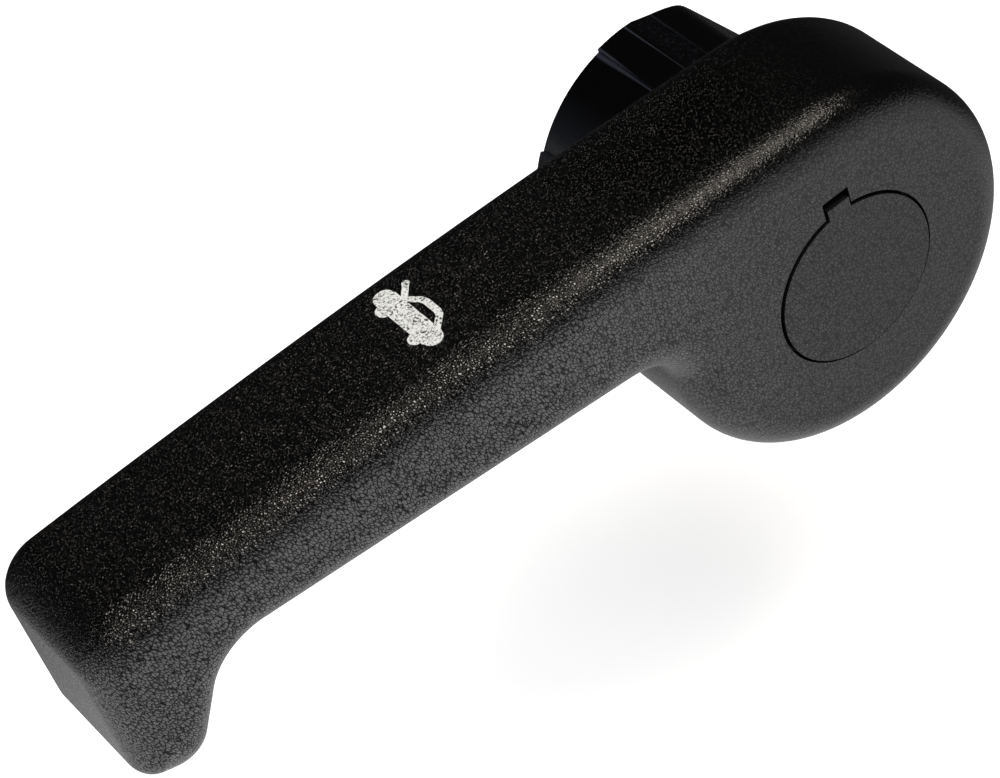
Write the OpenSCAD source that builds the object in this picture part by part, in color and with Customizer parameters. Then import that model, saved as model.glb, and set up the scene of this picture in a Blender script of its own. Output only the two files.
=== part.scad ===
// Hood release handle: a one-piece moulded lever with a finger hook and a drive hub,
// and the flush plug that covers its fixing screw.
// Millimetres. The origin is the centre of the hub's rear face, on the pivot axis.
// The hub's end points along +Y, the plug's face looks along -Y and the arm runs along -X.

/* [Head] */
// Radius of the round head
head_r = 26.5; // [24:0.5:30]
// Thickness of the lever, front to back
body_t = 23.5; // [21:0.5:28]
// Radius of the front edge all round the lever
front_edge_r = 5.5; // [4:0.1:6]
// Radius of the back edge all round the lever
back_edge_r = 2.9; // [2:0.1:3.3]

/* [Arm] */
// Distance from the pivot axis to the top corner of the tip
arm_reach = 112.7; // [95:0.1:135]
// Radius of the slight crown along the top of the arm
crown_r = 1180; // [700:10:2000]
// Height of the arm where it leaves the head
arm_h_head = 21.1; // [19:0.2:24]
// Height of the arm where the hook begins
arm_h_hook = 14.8; // [13.5:0.1:17]
// Radius of the inside corner between the arm and the head
root_r = 8; // [4:0.5:11]

/* [Finger hook] */
// Length of the end face, from the top corner to the hook's end
tip_h = 25.8; // [23:0.2:30]
// Lean of the end face from upright, in degrees
tip_lean = 4.5; // [1:0.5:9]
// Distance from the tip's top corner to the hook's inside corner
hook_root_w = 17.6; // [16:0.2:21]
// Width of the hook's end
hook_end_w = 8.3; // [7.5:0.1:10]
// How much lower the hook's end is at its inner corner
hook_end_drop = 2.4; // [0:0.1:3]
// How much longer the edge rounding is at the hook's end than elsewhere
hook_end_soft = 1.35; // [1.3:0.05:1.5]
// Radius of the tip's top corner
tip_r = 6.5; // [5:0.1:8]
// Radius of the hook's outer corner
hook_outer_r = 3.5; // [1.5:0.1:3.7]
// Radius of the hook's inner corner
hook_inner_r = 5.5; // [5:0.1:6.5]
// Radius of the inside corner between the hook and the arm
throat_r = 8; // [5:0.5:11]

/* [Hub] */
// Length of the hub behind the lever
hub_len = 17.7; // [14:0.1:24]
// Radius of the hub's plain round
hub_r = 19.5; // [18.8:0.1:20]
// Height of the drive ribs above the plain round
rib_rise = 0.9; // [0.5:0.05:1.2]
// Direction of the middle of the land between the two drive ribs, in degrees
land_angle = 129.5; // [100:0.5:160]
// Width of that land, in degrees
land_span = 45; // [35:1:55]
// Width of a drive rib's top, in degrees
rib_span = 13; // [8:1:18]
// Width of the ramp behind a drive rib, in degrees
ramp_span = 13; // [9:1:14]
// Distance from the axis to the hub's flats
flat_d = 17.1; // [16.4:0.1:17.8]
// Direction of the first flat, in degrees
flat_angle = 37; // [30:0.5:45]
// Bevel round the hub's end, measured on the drive ribs
hub_bevel = 0.4; // [0.3:0.1:1.1]
// Wall of the hub behind its flats
hub_wall = 2.3; // [1.8:0.1:3]

/* [Spindle and screw] */
// Radius of the boss in the middle of the hub
boss_r = 7.2; // [6.4:0.1:8.5]
// Radius of the socket that takes the spindle's end
socket_r = 4; // [3:0.1:4.6]
// Depth of that socket
socket_depth = 20; // [16:0.5:22]
// Radius of the clearance hole for the fixing screw
screw_hole_r = 2.75; // [2.2:0.05:2.9]
// Number of webs between the boss and the hub
web_count = 6; // [3:1:9]
// Thickness of those webs
web_t = 1.8; // [1.2:0.1:2.4]
// How far those webs lie below the hub's end
web_drop = 3; // [1:0.5:8]

/* [Screw recess] */
// Radius of the recess that the plug lies in
recess_r = 12.4; // [11.6:0.1:13.5]
// Depth of that recess
recess_depth = 2.5; // [2:0.1:3.2]
// Radius of the well below it, where the screw's head sits
well_r = 10.7; // [9.8:0.1:11.2]
// Depth of the well's floor below the front face
well_depth = 13; // [11:0.5:14]
// Thickness of the floor between the well and the hub's hollow
floor_t = 3.5; // [2.5:0.1:4]
// Direction of the pry notch, in degrees
notch_angle = 94; // [60:1:120]
// Width of the pry notch
notch_w = 4.2; // [3.4:0.1:5.2]
// How far the pry notch reaches past the recess
notch_reach = 2.5; // [1.8:0.1:3]

/* [Plug] */
// Gap round the plug
plug_gap = 0.35; // [0.2:0.05:0.5]
// Gap between the plug and the shoulder that it rests on
seat_gap = 0.1; // [0.05:0.05:0.3]
// Bevel round the plug's face
plug_bevel = 0.25; // [0.1:0.05:0.4]
// How far the plug's tab reaches into the notch
tab_reach = 1.2; // [0.8:0.1:1.5]
// Depth of the plug's skirt, below its disc
skirt_depth = 6; // [4:0.5:7.5]
// Wall of that skirt
skirt_wall = 1.3; // [1:0.1:1.8]
// Gap between the skirt and the well
skirt_gap = 0.4; // [0.3:0.05:0.6]
// Number of grip ribs round the skirt
grip_count = 8; // [4:1:12]
// Clearance between the grip ribs and the well
grip_fit = 0.08; // [0.05:0.01:0.15]

/* [Hollow back] */
// Wall of the rim round the hollow back
wall_t = 4; // [3.5:0.1:4.6]
// Thickness of the front wall
front_wall_t = 3.6; // [3:0.1:4.5]
// Thickness of the cross ribs and of the ribs round the head
rib_t = 1.7; // [1.2:0.1:2.4]
// Largest distance between two cross ribs
rib_pitch = 12.5; // [9:0.5:13.5]
// How far the ribs lie below the rim
rib_drop = 2.5; // [1:0.5:6]
// Angle between two of the ribs round the head, in degrees
head_rib_step = 30; // [20:5:40]
// Height of the solid end of the hook
hook_solid = 8; // [7:0.5:11]

/* [Hidden] */
front_y = -(hub_len + body_t);
back_y = -hub_len;
floor_y = front_y + well_depth;
core_r = flat_d - hub_wall;
plug_r = recess_r - plug_gap;
plug_t = recess_depth - seat_gap;
skirt_r = well_r - skirt_gap;
grip_r = 0.6;
sharp = 0.6;
over = 1;
front_steps = 7;
back_steps = 4;
head_steps = 60;
crown_steps = 8;
corner_steps = 6;
$fn = 96;

function unit(v) = v / norm(v);
function left(v) = [-v[1], v[0]];
function cross2(a, b) = a[0] * b[1] - a[1] * b[0];
function angle_of(v) = atan2(v[1], v[0]);
function near(a, b) = a + 360 * round((b - a) / 360);
function but_last(v) = [for (i = [0:len(v) - 2]) v[i]];

// A line is two points, and moving it by d shifts it to its left, which is inward.
function moved(l, d) = [for (p = l) p + left(unit(l[1] - l[0])) * d];
function meet(l, m) =
    let (u = l[1] - l[0], v = m[1] - m[0])
    l[0] + u * cross2(m[0] - l[0], v) / cross2(u, v);

// Where a line is r from the point c: side picks the first or the second crossing.
function meet_round(l, c, r, side) =
    let (u = unit(l[1] - l[0]), b = (l[0] - c) * u)
    l[0] + u * (side * sqrt(b * b - (l[0] - c) * (l[0] - c) + r * r) - b);

function arc(c, r, a0, a1, steps) =
    [for (i = [0:steps]) c + r * [cos(a0 + (a1 - a0) * i / steps), sin(a0 + (a1 - a0) * i / steps)]];

// The arc that rounds the corner of two lines, and the one that joins any two tangent points.
function arc_between(c, r, p, q, steps) =
    arc(c, r, angle_of(p - c), near(angle_of(q - c), angle_of(p - c)), steps);
function corner(l, m, r, steps) =
    let (q = meet(l, m), a = unit(l[0] - q), b = unit(m[1] - q), half = acos(a * b) / 2,
         c = q + unit(a + b) * r / sin(half), leg = r / tan(half))
    arc_between(c, r, q + a * leg, q + b * leg, steps);

// The side view of the lever: x along the arm, y up.
function crown_y(x) = head_r - crown_r + sqrt(crown_r * crown_r - x * x);
crown_c = [0, head_r - crown_r];
tip_top = [-arm_reach, crown_y(arm_reach)];
hook_out = tip_top + tip_h * [sin(tip_lean), -cos(tip_lean)];
hook_in = hook_out + [hook_end_w, -hook_end_drop];
throat = [hook_root_w - arm_reach, crown_y(arm_reach - hook_root_w) - arm_h_hook];
under_end = [-head_r, crown_y(head_r) - arm_h_head];
end_face = [tip_top, hook_out];
hook_end = [hook_out, hook_in];
hook_face = [hook_in, throat];
underside = [throat, under_end];
root_c = meet_round(moved(underside, -root_r), [0, 0], head_r + root_r, -1);

// The outline moved inward by d, anticlockwise, with every arc kept tangent.
function outline(d) =
    let (r_tip = max(tip_r - d, sharp),
         c_tip = meet_round(moved(end_face, d + r_tip), crown_c, crown_r - d - r_tip, -1),
         tip_a = crown_c + unit(c_tip - crown_c) * (crown_r - d),
         tip_b = c_tip - left(unit(hook_out - tip_top)) * r_tip,
         edge = moved(end_face, d),
         foot = moved(hook_end, d * hook_end_soft),
         inner = moved(hook_face, d),
         under = moved(underside, d),
         touch = unit(root_c) * (head_r - d),
         land = root_c + left(unit(under_end - throat)) * (root_r + d))
    concat(
        arc([0, 0], head_r - d, angle_of(touch) - (angle_of(touch) > 0 ? 360 : 0), 90, head_steps),
        [for (i = [1:crown_steps - 1])
            let (a = 90 + (angle_of(tip_a - crown_c) - 90) * i / crown_steps)
            crown_c + (crown_r - d) * [cos(a), sin(a)]],
        arc_between(c_tip, r_tip, tip_a, tip_b, corner_steps),
        corner(edge, foot, max(hook_outer_r - d, sharp), corner_steps),
        corner(foot, inner, max(hook_inner_r - d, sharp), corner_steps),
        corner(inner, under, throat_r + d, corner_steps),
        but_last(arc_between(root_c, root_r + d, land, touch, corner_steps)));

// Each level of the skin is an outline and its place along the lever's thickness.
levels = concat(
    [for (i = [front_steps:-1:0])
        let (a = 90 * i / front_steps)
        [front_edge_r * (1 - cos(a)), front_y + front_edge_r * (1 - sin(a))]],
    [for (i = [0:back_steps])
        let (a = 90 * i / back_steps)
        [back_edge_r * (1 - cos(a)), back_y - back_edge_r * (1 - sin(a))]]);

// A flat end of the skin: two fans of triangles, one round the head and one round the hook.
head_fan_c = [-0.3 * head_r, 0.55 * head_r];
hook_fan_c = (tip_top + throat) / 2;
fan_split = [head_steps + crown_steps - 1, head_steps + crown_steps + 4 * (corner_steps + 1) - 1];
function fan(c, i0, i1, n, first) = [for (i = [i0:i1 - 1]) [c, first + i % n, first + (i + 1) % n]];
function flat_end(c, n, first) =
    concat(fan(c, fan_split[1], n + fan_split[0], n, first),
           fan(c + 1, fan_split[0], fan_split[1], n, first),
           [[c, first + fan_split[0], c + 1], [c, c + 1, first + fan_split[1]]]);
function flipped(faces) = [for (f = faces) [f[0], f[2], f[1]]];

module skin() {
    rings = [for (l = levels) outline(l[0])];
    n = len(rings[0]);
    last = len(levels) - 1;
    centres = [for (y = [front_y, back_y]) for (c = [head_fan_c, hook_fan_c]) [c[0], y, c[1]]];
    points = concat([for (k = [0:last]) for (p = rings[k]) [p[0], levels[k][1], p[1]]], centres);
    sides = [for (k = [0:last - 1]) for (i = [0:n - 1])
        let (j = (i + 1) % n, a = k * n + i, b = k * n + j)
        each [[a, b, b + n], [a, b + n, a + n]]];
    faces = concat(flipped(flat_end(len(points) - 4, n, 0)), sides,
                   flat_end(len(points) - 2, n, last * n));
    polyhedron(points, faces);
}

// Stands a flat plan up between two places along Y.
module between(y0, y1) {
    translate([0, y1, 0]) rotate([90, 0, 0]) linear_extrude(y1 - y0) children();
}

// A round bar along Y.
module bar(r, y0, y1) {
    translate([0, y1, 0]) rotate([90, 0, 0]) cylinder(r = r, h = y1 - y0);
}

// One drive rib, from its steep side round to the foot of its ramp.
module drive_rib() {
    rib_r = hub_r + rib_rise;
    ramp_top = rib_r * [cos(rib_span), sin(rib_span)];
    ramp_foot = hub_r * [cos(rib_span + ramp_span), sin(rib_span + ramp_span)];
    intersection() {
        circle(r = rib_r);
        polygon([[0, 0], [2 * rib_r, 0], 2 * ramp_top - ramp_foot, 1.5 * ramp_foot - 0.5 * ramp_top]);
    }
}

module hub_plan() {
    difference() {
        union() {
            circle(r = hub_r);
            for (turn = [0, 180]) rotate(turn + land_angle) {
                rotate(land_span / 2) drive_rib();
                mirror([0, 1]) rotate(land_span / 2) drive_rib();
            }
        }
        for (turn = [0, 180]) rotate(turn + flat_angle)
            translate([flat_d, -hub_r]) square([hub_r, 2 * hub_r]);
    }
}

// The hub stands on the front wall and runs out of the back, with a bevel round its end.
module hub_shape() {
    wide_r = hub_r + rib_rise + over;
    bevel_y = -hub_bevel - over;
    intersection() {
        between(front_y + front_wall_t / 2, 0) hub_plan();
        union() {
            bar(wide_r, front_y, bevel_y);
            translate([0, bevel_y, 0]) rotate([-90, 0, 0])
                cylinder(r1 = wide_r, r2 = wide_r + bevel_y, h = -bevel_y);
        }
    }
}

// The hollow back, with or without its ribs.
module hollow_plan(ribs) {
    hollow_end = wall_t - arm_reach;
    first_x = -head_r - rib_t;
    span = arm_reach - wall_t - head_r - rib_t;
    count = ceil(span / rib_pitch);
    difference() {
        polygon(outline(wall_t));
        translate([hollow_end - over, hook_out[1] - over])
            square([hook_root_w + over, hook_solid + over]);
        if (ribs) {
            for (i = [0:count - 1])
                translate([first_x - span * i / count, -head_r]) square([rib_t, 2 * head_r]);
            for (a = [head_rib_step / 2 - 180:head_rib_step:90])
                rotate(a) translate([0, -rib_t / 2]) square([head_r, rib_t]);
        }
    }
}

module hub_hollow_plan(webs) {
    difference() {
        circle(r = core_r);
        circle(r = boss_r);
        if (webs)
            for (i = [0:web_count - 1])
                rotate(flat_angle + 360 * i / web_count) translate([0, -web_t / 2])
                    square([core_r + over, web_t]);
    }
}

// The outline that the recess and the plug's disc share, moved inward by gap.
module plug_plan(gap, reach) {
    circle(r = recess_r - gap);
    rotate(notch_angle) translate([0, gap - notch_w / 2])
        square([recess_r + reach, notch_w - 2 * gap]);
}

module lever() {
    color([0.07, 0.07, 0.075]) difference() {
        union() {
            difference() {
                skin();
                between(front_y + front_wall_t, back_y + over) hollow_plan(true);
                between(back_y - rib_drop, back_y + over) hollow_plan(false);
            }
            hub_shape();
        }
        between(floor_y + floor_t, over) hub_hollow_plan(true);
        between(-web_drop, over) hub_hollow_plan(false);
        between(front_y - over, front_y + recess_depth) plug_plan(0, notch_reach);
        bar(well_r, front_y, floor_y);
        bar(socket_r, -socket_depth, over);
        bar(screw_hole_r, floor_y - over, -socket_depth + over);
    }
}

module screw_cap() {
    back = front_y + plug_t;
    color([0.09, 0.09, 0.095]) {
        between(front_y + plug_bevel, back) plug_plan(plug_gap, tab_reach);
        translate([0, front_y + plug_bevel, 0]) rotate([90, 0, 0])
            cylinder(r1 = plug_r, r2 = plug_r - plug_bevel, h = plug_bevel);
        difference() {
            union() {
                bar(skirt_r, back - over, back + skirt_depth);
                for (i = [0:grip_count - 1]) rotate([0, 360 * i / grip_count, 0])
                    translate([well_r - grip_fit - grip_r, 0, 0])
                        bar(grip_r, back - over, back + skirt_depth - 2 * grip_r);
            }
            bar(skirt_r - skirt_wall, back, back + skirt_depth + over);
        }
    }
}

lever();
screw_cap();
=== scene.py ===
# %% [markdown]
# A hood release handle in black moulded plastic: a lever with a round head, an arm, a finger hook and
# a drive hub, and a flush plug over its screw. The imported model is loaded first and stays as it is.
# Every visible piece below is built around it, in metres, in the same place.
# %% Load the frame
import math

import bpy
import mathutils
import numpy as np
from mathutils import Matrix, Vector


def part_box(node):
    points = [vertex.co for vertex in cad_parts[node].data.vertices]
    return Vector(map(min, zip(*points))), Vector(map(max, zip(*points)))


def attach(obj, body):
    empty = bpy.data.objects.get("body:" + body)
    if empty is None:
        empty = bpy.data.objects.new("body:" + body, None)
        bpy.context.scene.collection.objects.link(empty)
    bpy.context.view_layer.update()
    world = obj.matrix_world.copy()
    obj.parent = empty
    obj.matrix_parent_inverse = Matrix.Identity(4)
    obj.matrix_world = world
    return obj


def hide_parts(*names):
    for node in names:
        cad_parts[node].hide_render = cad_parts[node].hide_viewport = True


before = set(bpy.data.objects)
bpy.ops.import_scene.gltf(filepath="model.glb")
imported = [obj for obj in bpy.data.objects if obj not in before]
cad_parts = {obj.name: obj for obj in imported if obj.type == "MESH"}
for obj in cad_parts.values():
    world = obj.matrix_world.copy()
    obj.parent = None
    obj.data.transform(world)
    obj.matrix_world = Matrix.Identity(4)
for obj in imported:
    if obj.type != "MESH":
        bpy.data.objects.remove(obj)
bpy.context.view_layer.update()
MM_PER_M = 1000
MM = 1 / MM_PER_M
lever_low, lever_high = (np.array(corner) * MM_PER_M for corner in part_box("lever"))
print("lever from", lever_low.round(2), "to", lever_high.round(2), "mm")

# %% [markdown]
# The shape follows a few sizes, as the real tool drawing would. They are millimetres here, and a mesh
# is scaled to metres once, when it is made. What the frame already says, such as the head's radius and
# the front face, is read from the lever's box.
# %% Sizes of the side view in millimetres
HEAD_R = float(lever_high[0])
FRONT_Y = float(lever_low[1])
HUB_LEN = 17.7
BACK_Y = -HUB_LEN
ARM_REACH = 112.7
CROWN_R = 1180
ARM_H_HEAD = 21.1
ARM_H_HOOK = 14.8
ROOT_R = 8
TIP_H = 25.8
TIP_LEAN = math.radians(4.5)
TIP_R = 6.5
HOOK_ROOT_W = 17.6
HOOK_END_W = 8.3
HOOK_END_DROP = 2.4
HOOK_END_SOFT = 1.35
HOOK_OUTER_R = 3.5
HOOK_INNER_R = 5.5
THROAT_R = 8
SMALLEST_R = 0.6
FINE = 1.0
print("head radius", round(HEAD_R, 2), "front face at", round(FRONT_Y, 2))

# %% [markdown]
# The side view is lines and arcs that stay tangent, so the helpers here work on those two. A line is
# two points, and its left side is the inside of the part. An arc is a list of points. The last helper
# puts a fillet between two lines.
# %% Lines and arcs
def unit(v):
    return v / np.linalg.norm(v)


def left(v):
    return np.array([-v[1], v[0]])


def moved(line, d):
    return [p + left(unit(line[1] - line[0])) * d for p in line]


def meet(one, other):
    u, v = one[1] - one[0], other[1] - other[0]
    t = np.linalg.solve(np.array([u, -v]).T, other[0] - one[0])[0]
    return one[0] + u * t


def meet_round(line, c, r, side):
    """Where a line meets the circle of radius r about c, on the side of 1 or -1 along it."""
    u = unit(line[1] - line[0])
    b = (line[0] - c) @ u
    return line[0] + u * (side * math.sqrt(b * b - (line[0] - c) @ (line[0] - c) + r * r) - b)


def arc(c, r, a0, a1, steps):
    return [c + r * np.array([math.cos(a), math.sin(a)]) for a in np.linspace(a0, a1, steps + 1)]


def arc_between(c, r, p, q, steps):
    """The shorter arc about c from the direction of p to the direction of q."""
    a0, a1 = (math.atan2(*(point - c)[::-1]) for point in (p, q))
    a1 += math.tau * round((a0 - a1) / math.tau)
    return arc(c, r, a0, a1, steps)


def rounded(one, other, r, steps):
    corner = meet(one, other)
    a, b = unit(one[0] - corner), unit(other[1] - corner)
    half = math.acos(a @ b) / 2
    c = corner + unit(a + b) * r / math.sin(half)
    leg = r / math.tan(half)
    return arc_between(c, r, corner + a * leg, corner + b * leg, steps)


# %% [markdown]
# The arm's top is a very flat arc that is tangent to the head, the crown. From its end the tip's face
# goes down to the hook, and the underside goes back from the hook's throat to the head, where a fillet
# joins them. These are the corners before anything is rounded.
# %% Corners of the side view
def crown_z(x):
    return HEAD_R - CROWN_R + math.sqrt(CROWN_R**2 - x * x)


crown_c = np.array([0, HEAD_R - CROWN_R])
tip_top = np.array([-ARM_REACH, crown_z(ARM_REACH)])
hook_out = tip_top + TIP_H * np.array([math.sin(TIP_LEAN), -math.cos(TIP_LEAN)])
hook_in = hook_out + [HOOK_END_W, -HOOK_END_DROP]
throat = np.array([HOOK_ROOT_W - ARM_REACH, crown_z(ARM_REACH - HOOK_ROOT_W) - ARM_H_HOOK])
under_end = np.array([-HEAD_R, crown_z(HEAD_R) - ARM_H_HEAD])
underside = [throat, under_end]
root_c = meet_round(moved(underside, -ROOT_R), np.zeros(2), HEAD_R + ROOT_R, -1)
print("the tip's top corner is at", tip_top.round(2), "and the throat at", throat.round(2))

# %% [markdown]
# Moving every line inward by d and shrinking the convex arcs by d gives a smaller copy of the same
# outline, and that is all a rounded edge needs: a rolled edge is a stack of such copies. So one function
# draws the outline at any inset, always with the same number of points.
# %% The outline at any inset
HEAD_STEPS = round(120 * FINE)
CROWN_STEPS = round(24 * FINE)
CORNER_STEPS = max(6, round(12 * FINE))


def outline(d):
    r_tip = max(TIP_R - d, SMALLEST_R)
    end_face = [tip_top, hook_out]
    c_tip = meet_round(moved(end_face, d + r_tip), crown_c, CROWN_R - d - r_tip, -1)
    tip_a = crown_c + unit(c_tip - crown_c) * (CROWN_R - d)
    tip_b = c_tip - left(unit(hook_out - tip_top)) * r_tip
    edge, foot = moved(end_face, d), moved([hook_out, hook_in], d * HOOK_END_SOFT)
    inner, under = moved([hook_in, throat], d), moved(underside, d)
    touch = unit(root_c) * (HEAD_R - d)
    land = root_c + left(unit(under_end - throat)) * (ROOT_R + d)
    start = math.atan2(touch[1], touch[0])
    start -= math.tau if start > 0 else 0
    head_top = np.array([0, HEAD_R - d])
    return np.array(
        arc(np.zeros(2), HEAD_R - d, start, math.pi / 2, HEAD_STEPS)
        + arc_between(crown_c, CROWN_R - d, head_top, tip_a, CROWN_STEPS)[1:-1]
        + arc_between(c_tip, r_tip, tip_a, tip_b, CORNER_STEPS)
        + rounded(edge, foot, max(HOOK_OUTER_R - d, SMALLEST_R), CORNER_STEPS)
        + rounded(foot, inner, max(HOOK_INNER_R - d, SMALLEST_R), CORNER_STEPS)
        + rounded(inner, under, THROAT_R + d, CORNER_STEPS)
        + arc_between(root_c, ROOT_R + d, land, touch, CORNER_STEPS)[:-1]
    )


print("the outline has", len(outline(0)), "points")

# %% [markdown]
# A few helpers turn points into closed meshes. Each takes millimetres and makes an object that sits at
# the origin, with its place in its mesh, because the exporter bakes pieces there. The part's depth runs
# along Y, so a solid is a stack of rings of (x, z) points, and a straight one is a stack of two.
# %% Solids from rings
def mesh_object(name, points, faces):
    mesh = bpy.data.meshes.new(name)
    mesh.from_pydata([tuple(np.asarray(p, float) * MM) for p in points], [], faces)
    mesh.validate()
    obj = bpy.data.objects.new(name, mesh)
    bpy.context.scene.collection.objects.link(obj)
    return obj


def stack(name, rings, places):
    """A closed solid from equal rings of (x, z) points, each at its place along Y."""
    n, last = len(rings[0]), len(rings) - 1
    points = [(p[0], y, p[1]) for ring, y in zip(rings, places) for p in ring]
    faces = [tuple(range(n))]
    for k in range(last):
        for i in range(n):
            a, b = k * n + i, k * n + (i + 1) % n
            faces.append((a, a + n, b + n, b))
    faces.append(tuple(last * n + i for i in reversed(range(n))))
    return mesh_object(name, points, faces)


def prism(name, ring, y0, y1):
    return stack(name, [ring, ring], [y0, y1])


def disc(r, steps):
    return [(r * math.cos(a), r * math.sin(a)) for a in np.arange(steps) * math.tau / steps]


# %% [markdown]
# Solids are cut and joined with the Boolean modifier, as a machinist would work. Each result is made
# plain at once, so no modifier is left for the exporter.
# %% Cuts and joins
def final_mesh(obj):
    """Replaces the object's mesh by what its modifiers make of it, and removes them."""
    bpy.context.view_layer.update()
    depsgraph = bpy.context.evaluated_depsgraph_get()
    mesh = bpy.data.meshes.new_from_object(obj.evaluated_get(depsgraph))
    old = obj.data
    obj.modifiers.clear()
    obj.data = mesh
    bpy.data.meshes.remove(old)
    return obj


def combine(obj, tool, operation, crossing=False):
    """Cuts, joins or intersects two closed solids, and deletes the tool."""
    modifier = obj.modifiers.new(operation, "BOOLEAN")
    modifier.operation = operation
    modifier.solver = "EXACT"
    modifier.use_self = crossing
    modifier.object = tool
    final_mesh(obj)
    bpy.data.objects.remove(tool)
    return obj


# %% [markdown]
# A mould leaves a small radius on each sharp edge, and such edges catch the light. A bevel gives them
# that radius when all cuts are done. Weighted normals then keep the large faces flat beside it.
# %% Soft edges
BEVEL_STEPS = 2
BEVEL_FROM = math.radians(35)
SHARP_FROM = math.radians(50)


def soften(obj, width):
    """Rounds the sharp edges by a small width, and shades the rest smooth."""
    bevel = obj.modifiers.new("edges", "BEVEL")
    bevel.width = width * MM
    bevel.segments = BEVEL_STEPS
    bevel.limit_method = "ANGLE"
    bevel.angle_limit = BEVEL_FROM
    bevel.miter_outer = "MITER_ARC"
    final_mesh(obj)
    obj.data.shade_smooth()
    obj.data.set_sharp_from_angle(angle=SHARP_FROM)
    weighted = obj.modifiers.new("normals", "WEIGHTED_NORMAL")
    weighted.keep_sharp = True
    weighted.weight = 100
    return final_mesh(obj)


# %% [markdown]
# The lever's skin is a stack of outlines. Along the front edge the inset follows a quarter circle, and
# the back edge has a smaller one. That rolled front edge runs round the head, along the arm and through
# the hook without a break, and it is what the photograph's long highlight lies on.
# %% The lever's skin
FRONT_EDGE_R = 5.5
BACK_EDGE_R = 2.9
FRONT_ROLL_STEPS = round(14 * FINE)
BACK_ROLL_STEPS = round(8 * FINE)


def rolled(r, edge_y, side, steps):
    """Insets and places round a rolled edge, from the flat face to the side wall."""
    angles = np.linspace(math.pi / 2, 0, steps + 1)
    return [(r * (1 - math.cos(a)), edge_y + side * r * (1 - math.sin(a))) for a in angles]


front_levels = rolled(FRONT_EDGE_R, FRONT_Y, 1, FRONT_ROLL_STEPS)
back_levels = rolled(BACK_EDGE_R, BACK_Y, -1, BACK_ROLL_STEPS)
levels = front_levels + back_levels[::-1]
shell = stack("lever_shell", [outline(d) for d, y in levels], [y for d, y in levels])
print("skin", len(shell.data.polygons), "faces")

# %% [markdown]
# The plastic is hollow from behind, so that its walls cool evenly. A prism of the same outline, inset
# by the wall, is cut away, but the end of the hook stays solid. Every cutting solid reaches a little
# past what it cuts, because two faces in one plane confuse a Boolean.
# %% The hollow back
WALL = 4
FRONT_WALL = 3.6
HOOK_SOLID = 8
OVER = 1

hollow = prism("hollow", outline(WALL), FRONT_Y + FRONT_WALL, BACK_Y + OVER)
hook_x0, hook_x1 = WALL - ARM_REACH - 2 * OVER, WALL - ARM_REACH + HOOK_ROOT_W
hook_z0 = hook_out[1] - OVER
hook_z1 = hook_z0 + HOOK_SOLID + OVER
hook_box = [(hook_x0, hook_z0), (hook_x1, hook_z0), (hook_x1, hook_z1), (hook_x0, hook_z1)]
combine(hollow, prism("hook_box", hook_box, FRONT_Y, BACK_Y + 2 * OVER), "DIFFERENCE")
combine(shell, hollow, "DIFFERENCE")
print("shell", len(shell.data.vertices), "points")

# %% [markdown]
# The head holds a solid post on the pivot axis, which the hub goes on from. Its front has a round recess
# for the plug, with a notch at the upper left where a blade can pry the plug out. A deeper well inside
# the recess takes the screw.
# %% Post, recess, pry notch and well
HUB_R = 19.5
RECESS_R = 12.4
RECESS_DEPTH = 2.5
NOTCH_ANGLE = math.radians(94)
NOTCH_W = 4.2
NOTCH_REACH = 2.5
NOTCH_ROOT = RECESS_R - 3
WELL_R = 10.7
WELL_DEPTH = 13
FLOOR_Y = FRONT_Y + WELL_DEPTH
WIDE_STEPS, ROUND_STEPS, NARROW_STEPS, HOLE_STEPS = 160, 128, 96, 48


def turned(points, angle):
    c, s = math.cos(angle), math.sin(angle)
    return [(x * c - z * s, x * s + z * c) for x, z in points]


def slab(x0, x1, w):
    return [(x0, -w / 2), (x1, -w / 2), (x1, w / 2), (x0, w / 2)]


core_post = prism("core_post", disc(HUB_R, WIDE_STEPS), FRONT_Y + FRONT_WALL / 2, BACK_Y)
combine(shell, core_post, "UNION")
recess_back = FRONT_Y + RECESS_DEPTH
recess = prism("recess", disc(RECESS_R, WIDE_STEPS), FRONT_Y - OVER, recess_back)
notch = turned(slab(NOTCH_ROOT, RECESS_R + NOTCH_REACH, NOTCH_W), NOTCH_ANGLE)
combine(recess, prism("notch", notch, FRONT_Y - OVER, recess_back), "UNION")
combine(recess, prism("well", disc(WELL_R, ROUND_STEPS), FRONT_Y, FLOOR_Y), "UNION")
combine(shell, recess, "DIFFERENCE")
print("shell with recess", len(shell.data.polygons), "faces")

# %% [markdown]
# From behind, the post is bored out to the hub's wall, down to a floor that the screw pulls on. With the
# screw's hole through that floor the shell is whole, and its edges are softened.
# %% Bore and screw hole
FLOOR_T = 3.5
SCREW_R = 2.75
HUB_WALL = 2.3
FLAT_D = 17.1
CORE_R = FLAT_D - HUB_WALL
SHELL_SOFT = 0.18
floor_back = FLOOR_Y + FLOOR_T

bore = prism("core", disc(CORE_R, ROUND_STEPS), floor_back, BACK_Y + OVER)
combine(shell, bore, "DIFFERENCE")
screw_hole = prism("screw_hole", disc(SCREW_R, HOLE_STEPS), FLOOR_Y - OVER, BACK_Y)
combine(shell, screw_hole, "DIFFERENCE")
soften(shell, SHELL_SOFT)
print("shell", len(shell.data.polygons), "faces")

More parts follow.
